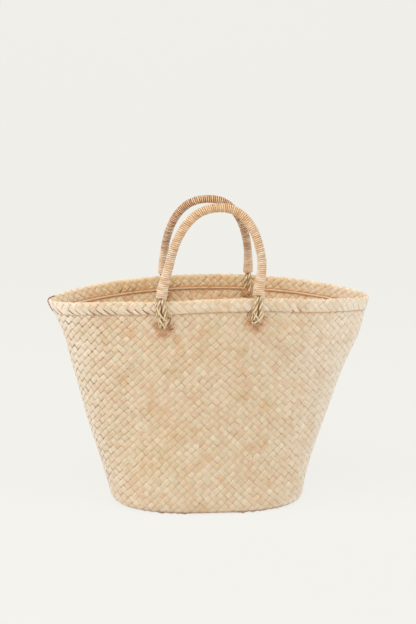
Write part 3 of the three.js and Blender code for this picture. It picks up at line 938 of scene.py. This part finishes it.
class Foot:
    """Where a handle's foot stands: the angle of the wall there, and the ways out, along and down."""

    def __init__(self, foot):
        handle = HANDLES[foot["handle"]]
        self.side = handle["side"]
        self.end = foot["end"]
        self.drop = foot["drop"] * FOOT_DROP
        x = HANDLE_SPAN * (handle["shift"] + self.end * handle["span"] / 2)
        half = (RIM_WIDTH - 2 * HOLDS) / 2
        turn = math.acos(signed_power(x / half, SECTIONS[-1, SIDES] / 2))
        self.angle = (self.side * math.degrees(turn)) % 360
        self.top = float(rim_top(self.angle))
        reach = self.top - HOLDS
        out = wall_point(self.angle, reach, 1.0) - wall_point(self.angle, reach, 0.0)
        self.out = out / np.linalg.norm(out)
        self.along = np.array([-self.out[1] * self.side, self.out[0] * self.side, 0.0])

    def at(self, across, out, up):
        """A point from the middle of the wall: along it, out of it, and up from the hem's top."""
        middle = wall_point(self.angle, self.top - max(-up, HOLDS), -WALL / 2)
        middle[2] = self.top + up
        return middle + self.out * out + self.along * across


LEG_OUT = WALL / 2 + 2 * CLEARANCE + max(HEM_THICKNESS, HEM_EDGE_THICKNESS) + CORD_RADIUS


def cord_line(foot, hand):
    """One cord of a foot: down outside, through the wall and up inside."""
    lowest = foot.drop - CORD_RADIUS

    def leg(face):
        return [
            foot.at(hand * across * CORD_SPREAD, face * out * LEG_OUT,
                    up * BINDING_START - down * foot.drop)
            for across, out, up, down in CORD_RUN
        ]

    def bend(face):
        return [
            foot.at(hand * CORD_SPREAD, face * (LEG_OUT - CORD_BEND * (1 - math.cos(turn))),
                    CORD_BEND * (1 - math.sin(turn)) - lowest)
            for turn in (0, math.pi / 4, math.pi / 2)
        ]

    return through(leg(1) + bend(1) + bend(-1)[::-1] + leg(-1)[::-1])


def handle_line(name, count=160):
    """The middle of a handle's rope, from the left foot up and over to the right foot."""
    handle = HANDLES[name]
    span, rise = handle["span"] * HANDLE_SPAN, handle["rise"] * HANDLE_RISE
    ends = sorted((f for f in all_feet if f.side == handle["side"]), key=lambda f: f.at(0, 0, 0)[0])
    left, right = (f.at(0, 0, -HOLDS) for f in ends)
    left[2], right[2] = (f.top + BINDING_START for f in ends)
    turn = math.pi * (1 - np.linspace(0, 1, count))
    across = signed_power(np.cos(turn), 2 / ARCH_ROUNDNESS)
    up = np.maximum(np.sin(turn), 0) ** (2 / ARCH_ROUNDNESS)
    points = left[None] + (right - left)[None] * ((across + 1) / 2)[:, None]
    points[:, 0] += HANDLE_SPAN * (handle["sway"] * smooth(up, 0, 0.4) + handle["tilt"] * up)
    points[:, 0] += across * (span - (right[0] - left[0])) / 2
    points[:, 1] -= handle["side"] * handle["lean"] * rise * up ** 1.6
    points[:, 2] += up * (rise - BINDING_START)
    return points


def evenly(points, step):
    """The same line cut into steps of one length."""
    arc = arc_table(points[None])[0]
    place = np.linspace(0, arc[-1], max(int(arc[-1] / step), 2) + 1)
    return np.stack([np.interp(place, arc, points[:, k]) for k in range(3)], -1)


# The materials

all_feet = [Foot(foot) for foot in FEET]

LEAF_SHADES = [(0.0, "D9B790"), (0.12, "DEC6A2"), (0.4, "E1CBAB"), (0.6, "E4D0B2"), (0.85, "E9DABF"),
               (1.0, "DFD0AE")]
# the first stops, which the hem's turned-in side takes, are more golden: painted warm light bounced round the
# basket's inside
HEM_SHADES = [(0.0, "E8CA9E"), (0.2, "F2DCB6"), (0.32, "E2C8A6"), (0.6, "E9D6BA"), (0.8, "EEDFC8"),
              (1.0, "F2E6D4")]
# Patches of leaf a few squares wide: how fine their noise is, where it starts to show, and their colour
LEAF_PATCHES = [(26.0, 0.5, "F6E6D6"), (19.0, 0.54, "F3F2E2"), (34.0, 0.54, "F5DFBE")]
PATCH_STRENGTH = 0.4

rubbed = [list(foot.at(0, 0, -foot.drop) * MM + foot.out * 0.001) for foot in all_feet if foot.side < 0]
leaf_of_wall = leaf_material("dried_palm_leaf_plait", LEAF_SHADES, "DC8638", 0.9, "8A4E1C", rubbed=rubbed)
leaf_of_base = leaf_material("dried_palm_leaf_base", LEAF_SHADES, "CF9058", 0.75, "8A5A30")
# the turned edge's leaf is paler than the wall's: painted light that offsets the shade the hem casts on it
leaf_of_edge = leaf_material("dried_palm_leaf_edge", [(0.0, "ECD6B4"), (0.5, "F2E2C6"), (1.0, "F6EAD6")],
                             "CF9058", 0.6, "8A5A30")
leaf_of_hem = leaf_material("dried_palm_leaf_hem", HEM_SHADES, "D88C48", 0.65, "7E4416", long_edges=True)
raffia_binding = fibre_material(
    "raffia_binding", [(0.0, "D2A274"), (0.35, "E2BC92"), (0.7, "F2E0C8"), (1.0, "DCB488")],
    "8E4A18", 0.84, 1.0, sheen=0.5, golden_top=0.6)
palm_cord = fibre_material(
    "twisted_palm_cord", [(0.0, "D2AE78"), (0.4, "E8D0A2"), (0.75, "F6E8CC"), (1.0, "DCBE8E")],
    "A8763E", 0.8, 0.6)
raffia_thread = fibre_material(
    "raffia_thread", [(0.0, "B07440"), (0.5, "CE965E"), (1.0, "E8C098")], "A8703C", 0.9, 0.5)
pale_thread = fibre_material(
    "pale_raffia_thread", [(0.0, "DDBB92"), (0.5, "EBD6B8"), (1.0, "F5EBD8")], "A87848")
hem_thread = fibre_material(
    "hem_thread", [(0.0, "C88840"), (0.5, "D89A52"), (1.0, "E8B878")], "C88840")
outer_thread = fibre_material(
    "outer_hem_thread", [(0.0, "E0A860"), (0.5, "ECBE80"), (1.0, "F4D4A0")], "D89C54")
# brown strands at the feet, and the shade in the fold at the left tip, painted as a brown strand
brown_thread_and_fold_shade = fibre_material(
    "brown_dried_leaf_thread", [(0.0, "7E420E"), (0.5, "A05E24"), (1.0, "B87A3C")], "7E420E")
# a dark strand that stands for the shade in the slit between a foot's cords: painted shade
slit_shade_strand = fibre_material(
    "dark_dried_leaf_thread", [(0.0, "7A4C20"), (0.5, "92623A"), (1.0, "AC7E50")], "7A4C20")

# The pieces

WALL_REACH = 480
BASE_REACH = 260

wall_pieces = []
for seed, (name, middle, lap) in enumerate([("front", 270, 4.0), ("back", 90, 0.5)]):
    chart = WallChart(middle, lap)
    for rising in (True, False):
        rng = np.random.default_rng(11 + 2 * seed + rising)
        runs = plait(chart, rising, STRIP_WIDTH, WALL_REACH, PLAIT_HEIGHT, rng)
        label = "rising" if rising else "falling"
        wall_pieces.append(strips_object(f"plait_{name}_{label}", runs, leaf_of_wall))

base_chart = BaseChart()
for rising in (True, False):
    rng = np.random.default_rng(31 + rising)
    runs = plait(base_chart, rising, STRIP_WIDTH, BASE_REACH, PLAIT_HEIGHT, rng)
    wall_pieces.append(strips_object(f"plait_base_{'rising' if rising else 'falling'}", runs, leaf_of_base))

hem_chart = HemChart()
hem_strips = int(round(hem_chart.round / (HEM_STRIP_WIDTH * math.sqrt(2))))
hem_width = hem_chart.round / hem_strips / math.sqrt(2)
hem_pieces = []
for rising in (True, False):
    rng = np.random.default_rng(41 + rising)
    runs = plait(hem_chart, rising, hem_width, 0, HEM_PLAIT_HEIGHT, rng, round_strips=hem_strips)
    hem_pieces.append(strips_object(f"hem_plait_{'rising' if rising else 'falling'}", runs, leaf_of_hem))

wound = winding_tree()
stitched = stitch_tree()

BINDING_FULLNESS = {"front": 0.06, "back": -0.02}
BINDING_RADIUS = 5.3
BINDING_PITCH = 2.95
RAFFIA_RADIUS = 1.45
FULLER_FOOT = 0.3
FULLER_REACH = 26
cord_pieces, binding_pieces = {}, {}
for seed, name in enumerate(HANDLES):
    line = evenly(handle_line(name), 2.0)
    meshes = [
        grow(f"rope_{ply}", wound, line_mesh("line", line), palm_cord, winding_radius=2.4 * MM, pitch=26 * MM,
             strand_radius=2.7 * MM, phase=ply * TAU / 3, unevenness=0.05, steps_per_turn=14, sides=8,
             seed=seed * 7 + ply)
        for ply in range(3)
    ]
    for number, foot in enumerate(f for f in all_feet if f.side == HANDLES[name]["side"]):
        for hand in (-1, 1):
            path = evenly(cord_line(foot, hand), 1.2)
            for ply in range(2):
                meshes.append(grow(
                    f"cord_{number}_{hand}_{ply}", wound, line_mesh("line", path), palm_cord,
                    winding_radius=1.3 * MM, pitch=24 * MM, strand_radius=1.5 * MM,
                    phase=ply * math.pi + hand, unevenness=0.25, steps_per_turn=14, sides=8,
                    seed=seed * 50 + number * 9 + hand * 3 + ply + 20))
    cord_pieces[name] = joined(f"handle_{name}_rope", meshes)
    above_foot = np.minimum(line[:, 2] - line[0, 2], line[:, 2] - line[-1, 2])
    fuller = FULLER_FOOT * np.exp(-(above_foot / FULLER_REACH) ** 2) + BINDING_FULLNESS[name]
    binding = grow(f"binding_{name}", wound, line_mesh("line", line, fuller), raffia_binding,
                   winding_radius=BINDING_RADIUS * MM, pitch=BINDING_PITCH * MM,
                   strand_radius=RAFFIA_RADIUS * MM, unevenness=0.12, steps_per_turn=22, sides=8,
                   seed=seed + 3)
    binding_pieces[name] = joined(f"handle_{name}_binding", [binding])

# Threads under the hem: one outside, and two inside with the turned edge between them. The outside one stands
# partly for a running stitch and partly for the shade under the hem's lower edge: painted shade.
turns = np.arange(0, 360, 0.5)
threads = []
for seed, (drop, out, radius, thread) in enumerate([
    (HEM_HEIGHT + 0.3, 0.55, 0.5, outer_thread),
    (HEM_HEIGHT + 0.2, -WALL - 1.1, 0.65, hem_thread),
    (HEM_HEIGHT + HEM_EDGE_HEIGHT + 0.6, -WALL - 0.7, 0.65, hem_thread),
]):
    rng = np.random.default_rng(60 + seed)
    waver = np.convolve(rng.normal(0, 0.35, turns.size + 6), np.ones(7) / 7, "valid")
    lifted = tip_pinch(turns) if out < 0 else 0
    points = wall_point(turns, rim_top(turns) - drop + lifted + waver, out)
    points = np.vstack([points, points[:2]])
    threads.append(grow(
        f"thread_{seed}", wound, line_mesh("line", points), thread, winding_radius=0.15 * MM, pitch=3 * MM,
        strand_radius=radius * MM, unevenness=0.5, steps_per_turn=2, sides=6, seed=seed))
hem_threads = joined("hem_threads", threads)

EDGE_HALF_WIDTH = 1.75

rng = np.random.default_rng(71)
edge_runs = []
for start in np.arange(0, 360, 30):
    angle = np.linspace(start - 1.5, start + 31.5, 45)
    n = angle.size
    arc = arc_table(wall_point(angle % 360, 315.0, -3.0)[None])[0]
    u = np.broadcast_to(STRIP_SECTION[None, :, 0] * EDGE_HALF_WIDTH, (n, len(STRIP_SECTION)))
    overlap = 0.35 * smooth(np.linspace(-1, 1, n), 0.9, 1.0)[:, None]
    lift = STRIP_SECTION[None, :, 1] * 1.1 + overlap
    middle = HEM_HEIGHT + CLEARANCE + HEM_EDGE_HEIGHT / 2
    z = (rim_top(angle % 360) + tip_pinch(angle))[:, None] - middle + u + rng.normal(0, 0.06, (n, 1))
    points = wall_point((angle % 360)[:, None], z, -WALL - CLEARANCE - HEM_EDGE_THICKNESS / 2 - lift)
    leaf = np.stack([u / EDGE_HALF_WIDTH, np.broadcast_to(arc[:, None], u.shape),
                     np.full(u.shape, start * 1.3)], -1)
    tint, dip, burn = (np.full(u.shape, value) for value in (rng.uniform(0.4, 0.8), 0.1, 0.0))
    edge_runs.append((points, leaf, tint, dip, burn))
hem_edge = strips_object("hem_edge_strip", edge_runs, leaf_of_edge)

# Strands that lash each foot down outside, and a dark strand between the cords that stands for the shade in
# the slit there: painted shade. Each is a thread, its plies, its radius and its points: to the right of the
# foot's middle, out from the middle of the wall, and up from the hem's top.
FOOT_STRANDS = {
    ("front", -1): [
        ("cord", 2, 1.6, [(-6.5, 5, 5), (-8, 5, -8), (-7.4, 4.6, -22), (-5.6, 4, -33), (-3.2, 3.2, -39.5),
                          (1.5, 3.2, -41.5), (5, 3.6, -37), (6.6, 4.4, -27), (6.2, 5, -14), (5.2, 5, 4)]),
        ("pale", 1, 1.2, [(-6.4, 6.5, -8), (-4.6, 9, -13), (-1.4, 10, -19), (2.6, 8.5, -25), (5.4, 5, -29)]),
        ("thread", 1, 1.1, [(7.6, 4.6, -16), (9, 3.4, -21), (8.6, 3, -25), (5.2, 6.5, -29), (0.6, 9.6, -33),
                            (-3.6, 7, -38)]),
        ("pale", 1, 1.2, [(-4.8, 6.5, -24), (-2.6, 9.4, -28), (1, 10, -34), (3.4, 6.5, -40)]),
        ("cord", 1, 1.1, [(10.6, 2.2, -26.5), (7, 4.6, -31), (3.6, 8.4, -36), (1, 6, -40.5)]),
        # painted shade: this dark strand stands for the shade in the slit between the cords
        ("dark", 1, 1.0, [(-1.2, 5.6, -3), (-1, 6.2, -11), (-0.4, 6.6, -20)]),
        ("brown", 1, 0.55, [(-4, 2.2, -41), (0.5, 2.2, -43.2), (5, 2.2, -40.6)]),
        ("brown", 1, 0.55, [(8.4, 4.6, -23.6), (12, 3, -25.4), (9.6, 3, -31), (6.6, 5, -36)]),
        ("brown", 1, 0.5, [(6.6, 2, -39), (9.4, 1.9, -41.6), (12.6, 1.9, -42.2), (15.2, 1.8, -40)]),
    ],
    ("front", 1): [
        ("cord", 2, 1.5, [(-3.4, 5.4, 4), (-5.6, 5.4, -9), (-7, 5, -20), (-8, 4, -32), (-5.4, 3.4, -38.6),
                          (0.6, 3.4, -40), (6, 3.6, -34), (7, 4.6, -24), (5.4, 5.4, -9), (3.4, 5.4, 4)]),
        ("pale", 1, 1.2, [(-7.4, 5.6, -19), (-4.4, 8.6, -24), (-0.6, 9.8, -29), (3, 8, -34), (5, 4, -37)]),
        ("cord", 1, 1.1, [(8.6, 3, -22), (5.6, 7, -27), (1.4, 9.8, -32), (-3.4, 7.4, -36), (-7.4, 3, -37.4)]),
        # painted shade: this dark strand stands for the shade in the slit between the cords
        ("dark", 1, 1.1, [(-0.8, 5.8, -6), (0, 6.4, -15), (0.6, 6.8, -25)]),
        ("brown", 1, 0.6, [(-8.6, 2.4, -30), (-5.4, 2.4, -37.6), (-1, 2.2, -41)]),
        ("brown", 1, 0.5, [(-9, 2, -17), (-13, 1.8, -21), (-15.6, 1.7, -27)]),
        ("thread", 1, 0.55, [(-13, 1.7, -34), (-16.4, 1.7, -38.6), (-19, 1.7, -39)]),
    ],
}
FOOT_THREADS = {"cord": palm_cord, "pale": pale_thread, "thread": raffia_thread, "brown": brown_thread_and_fold_shade,
                "dark": slit_shade_strand}
strands = []
for seed, foot in enumerate(all_feet):
    for number, (thread, plies, radius, run) in enumerate(FOOT_STRANDS["front", foot.end]):
        highest = 5 if foot.side < 0 else -2
        points = evenly(through([foot.at(-right, out, min(up, highest)) for right, out, up in run]), 1.0)
        for ply in range(plies):
            strands.append(grow(
                f"strand_{seed}_{number}_{ply}", wound, line_mesh("line", points), FOOT_THREADS[thread],
                winding_radius=(0.45 * radius if plies > 1 else 0.12) * MM, pitch=16 * MM,
                strand_radius=radius * (0.58 if plies > 1 else 1.0) * MM, phase=ply * math.pi, unevenness=0.3,
                steps_per_turn=8, sides=7, seed=seed * 40 + number * 3 + ply))
foot_strands = joined("foot_strands", strands)

# Raffia stitches: outside they fan out from each foot's lower end, and inside they cover it as a knot.
stitch_meshes = []
for kind, (material, thickness, count) in enumerate([(raffia_thread, 0.55, 14), (pale_thread, 0.4, 6)]):
    places, aims, faces, lengths = [], [], [], []
    rng = np.random.default_rng(83 + kind)
    for foot in all_feet:
        for _ in range(count):
            turn = rng.uniform(-0.5, math.pi + 0.5)
            aim = np.array([math.cos(turn), -math.sin(turn)])
            across, up = aim * np.array([rng.uniform(6, 17), rng.uniform(6, 17)])
            places.append(foot.at(across, WALL / 2 + 0.6, 5 - foot.drop + up))
            aim_along = aim[0] + rng.normal(0, 0.35)
            aim_up = aim[1] + rng.normal(0, 0.35)
            aims.append(foot.along * aim_along + np.array([0, 0, aim_up]))
            faces.append(foot.out)
            lengths.append(rng.uniform(3, 7.5) * MM)
        for _ in range(count * 3):
            turn = rng.choice([0.7, -0.7, 0.1]) + rng.normal(0, 0.2)
            across, up = rng.uniform(-8.5, 8.5), rng.uniform(-6, 6)
            bulge = 1 - (across / 11) ** 2 - (up / 9) ** 2
            places.append(foot.at(across, -(WALL / 2 + 3 + 6.5 * bulge), 9 - foot.drop + up))
            aims.append(foot.along * math.cos(turn) + np.array([0, 0, math.sin(turn)]))
            faces.append(-foot.out)
            lengths.append(rng.uniform(5, 8) * MM)
    points = points_mesh("stitch_points", places, aim=aims, face=faces, size=lengths)
    stitch_meshes.append(grow(f"stitches_{kind}", stitched, points, material,
                              thread_radius=thickness * MM, bow=0.25))
foot_stitches = joined("foot_stitches", stitch_meshes)

# A brown strand along the fold where the hem is pinched at the left tip, standing for the shade in the fold:
# painted shade; and one loose fibre on the front. The fold's places are an angle, how far below the hem's top
# and how far out. The fibre's are an angle and a height.
TIP_FOLD = [(168, 0.2, -2.4), (174, -0.3, -1.6), (180, -0.2, 0.2), (182.6, 2.4, 2.2), (183.6, 7, 2.6),
            (185.4, 12, 2.4), (188.5, 17, 2.2)]
LOOSE_FIBRE = [(227.6, 209), (231.5, 218), (236, 231), (240.4, 246)]
LOOSE_FIBRE_OUT = 0.9
tip_points = [wall_point(angle, float(rim_top(angle)) - drop, out) for angle, drop, out in TIP_FOLD]
tip_line = line_mesh("line", evenly(through(tip_points), 1.0))
tip_fold = joined("tip_fold", [grow(
    "tip_line", wound, tip_line, brown_thread_and_fold_shade, winding_radius=0.1 * MM, pitch=5 * MM,
    strand_radius=0.75 * MM, unevenness=0.5, steps_per_turn=6, sides=6, seed=5)])
fibre_points = [wall_point(angle, z, LOOSE_FIBRE_OUT) for angle, z in LOOSE_FIBRE]
fibre_line = line_mesh("line", evenly(through(fibre_points), 1.5))
loose_fibre = joined("loose_fibre", [grow(
    "fibre", wound, fibre_line, pale_thread, winding_radius=0.1 * MM, pitch=9 * MM,
    strand_radius=0.45 * MM, unevenness=0.5, steps_per_turn=5, sides=6, seed=6)])

# Each piece goes under the root body, and where it takes the place of a part of model.glb, that part is
# hidden

for piece in wall_pieces:
    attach(piece, "root")
    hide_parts("basket_body")
for piece in hem_pieces + [hem_threads]:
    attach(piece, "root")
    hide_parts("rim_hem")
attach(hem_edge, "root")
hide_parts("inner_hem_edge")
for name in HANDLES:
    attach(cord_pieces[name], "root")
    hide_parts(f"handle_core_{name}")
    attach(binding_pieces[name], "root")
    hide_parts(f"handle_binding_{name}")
for piece, slot in [(foot_strands, "palm_rope"), (foot_stitches, "raffia"), (tip_fold, "palm_hem"),
                    (loose_fibre, "palm_leaf")]:
    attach(piece, "root")

# Studio: a pale seamless sweep, three soft area lights, a dim world and the camera

SWEEP_START = -4000
SWEEP_BEND_START = 1600
SWEEP_BEND = 900
SWEEP_HEIGHT = 4000
SWEEP_HALF_WIDTH = 5000


def sweep():
    """The floor and the backdrop, as one sheet with a wide bend."""
    profile = [(SWEEP_START, 0), (SWEEP_BEND_START, 0)]
    for turn in np.linspace(0.1, math.pi / 2, 16):
        profile.append((SWEEP_BEND_START + SWEEP_BEND * math.sin(turn),
                        SWEEP_BEND - SWEEP_BEND * math.cos(turn)))
    profile.append((SWEEP_BEND_START + SWEEP_BEND, SWEEP_HEIGHT))
    verts = [(x * MM, y * MM, z * MM) for y, z in profile for x in (-SWEEP_HALF_WIDTH, SWEEP_HALF_WIDTH)]
    quads = [(2 * i, 2 * i + 1, 2 * i + 3, 2 * i + 2) for i in range(len(profile) - 1)]
    mesh = bpy.data.meshes.new("studio_sweep")
    mesh.from_pydata(verts, [], quads)
    for polygon in mesh.polygons:
        polygon.use_smooth = True
    material, tree = new_material("matt_white_paper")
    # the sheet glows evenly by itself, besides what the lights and the world give it
    glow = add(tree, "ShaderNodeEmission", Color=linear("F1F0EA"), Strength=0.9)
    paper = add(tree, "ShaderNodeBsdfDiffuse", Color=linear("555657"))
    both = add(tree, "ShaderNodeAddShader", i_0=glow.outputs[0], i_1=paper.outputs[0])
    add(tree, "ShaderNodeOutputMaterial", Surface=both.outputs[0])
    mesh.materials.append(material)
    obj = bpy.data.objects.new("studio_sweep", mesh)
    bpy.context.scene.collection.objects.link(obj)


def area_light(name, place, target, size, power, colour):
    light = bpy.data.lights.new(name, "AREA")
    light.shape = "RECTANGLE"
    light.size, light.size_y = size
    light.energy = power
    light.color = linear(colour)[:3]
    obj = bpy.data.objects.new(name, light)
    bpy.context.scene.collection.objects.link(obj)
    way = np.array(target, float) - np.array(place, float)
    obj.location = [v * MM for v in place]
    tilt = math.atan2(math.hypot(way[0], way[1]), -way[2])
    obj.rotation_euler = (tilt, 0, math.atan2(way[0], -way[1]) + math.pi)


sweep()
area_light("key_left", (-1900, -500, 1300), (0, 0, 250), (1.2, 1.2), 23, "FFFAF4")
area_light("key_right", (1700, -600, 1300), (0, 0, 250), (1.6, 1.6), 17, "FFFCF8")
area_light("soft_top", (-200, -1100, 2200), (0, 0, 300), (2.4, 2.4), 30, "FFFCF8")
world = bpy.data.worlds.new("studio_air")
world.use_nodes = True
world.node_tree.nodes["Background"].inputs["Color"].default_value = linear("FFFCFA")
world.node_tree.nodes["Background"].inputs["Strength"].default_value = 0.34
bpy.context.scene.world = world

CAMERA_DISTANCE = 1800
CAMERA_HEIGHT = 756.6
CAMERA_ASIDE = -1.79
CAMERA_TURN = math.radians(3)
CAMERA_PITCH = math.radians(14.258)
# in pixels of the photo, whose longer side is its height
FOCAL_LENGTH = 1190.3
PHOTO_HEIGHT = 624
ahead = np.array([math.sin(CAMERA_TURN), math.cos(CAMERA_TURN), 0])
right = np.array([math.cos(CAMERA_TURN), -math.sin(CAMERA_TURN), 0])
lens = bpy.data.cameras.new("camera")
lens.sensor_width = 36
lens.lens = FOCAL_LENGTH / PHOTO_HEIGHT * lens.sensor_width
camera = bpy.data.objects.new("camera", lens)
bpy.context.scene.collection.objects.link(camera)
camera.location = (-CAMERA_DISTANCE * ahead + CAMERA_ASIDE * right + np.array([0, 0, CAMERA_HEIGHT])) * MM
camera.rotation_euler = (math.pi / 2 - CAMERA_PITCH, 0, -CAMERA_TURN)
bpy.context.scene.camera = camera
bpy.context.scene.view_settings.view_transform = "Standard"
